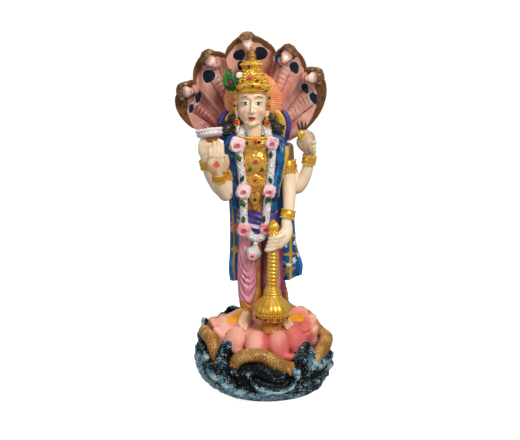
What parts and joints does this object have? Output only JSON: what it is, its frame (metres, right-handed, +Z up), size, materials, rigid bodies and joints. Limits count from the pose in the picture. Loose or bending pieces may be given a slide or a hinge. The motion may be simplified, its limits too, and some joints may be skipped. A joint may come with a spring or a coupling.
{
  "type": "vishnu figurine",
  "caption": "Painted cast-resin statuette of Vishnu standing on a lotus under a many-headed serpent hood, with mace, discus and conch, on a round base of waves.",
  "frame": {"origin": "middle of the flat underside of the base", "axes": "+Z up, the figure faces -Y, +X is the figure's left"},
  "size_m": [0.098, 0.087, 0.2178],
  "materials": {
    "vishnu_figurine": "cast polyresin, painted by hand in many colours under a satin varnish"
  },
  "bodies": {
    "root": {"vishnu_figurine": "vishnu_figurine"}
  },
  "joints": []
}
